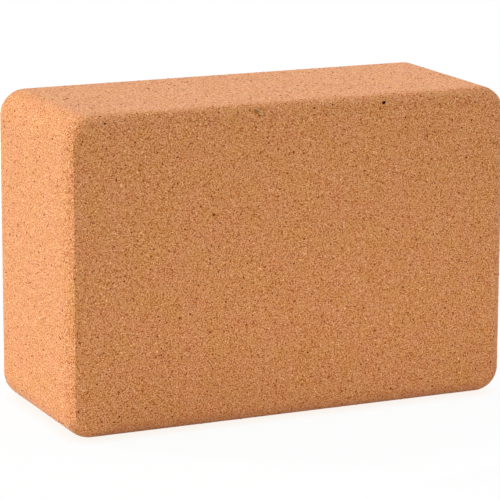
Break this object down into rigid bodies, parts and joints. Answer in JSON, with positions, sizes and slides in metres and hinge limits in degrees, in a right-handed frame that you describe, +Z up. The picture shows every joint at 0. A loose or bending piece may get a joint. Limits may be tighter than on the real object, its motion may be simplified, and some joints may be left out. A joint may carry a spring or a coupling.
{
  "type": "yoga block",
  "caption": "Rectangular block of pressed granulated cork with rounded edges and corners, used as a firm hand, seat or back support in yoga, on any of its faces.",
  "frame": {"origin": "middle of the face that the block stands on", "axes": "+X along the block's length, +Y through its depth towards the back, +Z up"},
  "size_m": [0.2286, 0.1016, 0.1524],
  "materials": {
    "pressed_cork": "matt, sanded granulated cork with fine open pores",
    "brown_bark": "matt, dark brown bark granules",
    "pale_cork": "matt, pale clean cork granules",
    "grey_bark": "matt, grey-green outer bark"
  },
  "bodies": {
    "root": {"cork_block": "pressed_cork", "front_bark_granules": "brown_bark", "back_bark_granules": "brown_bark", "left_end_bark_granules": "brown_bark", "right_end_bark_granules": "brown_bark", "top_bark_granules": "brown_bark", "base_bark_granules": "brown_bark", "front_pale_granules": "pale_cork", "back_pale_granules": "pale_cork", "left_end_pale_granules": "pale_cork", "right_end_pale_granules": "pale_cork", "top_pale_granules": "pale_cork", "base_pale_granules": "pale_cork", "grey_bark_chip": "grey_bark"}
  },
  "joints": []
}
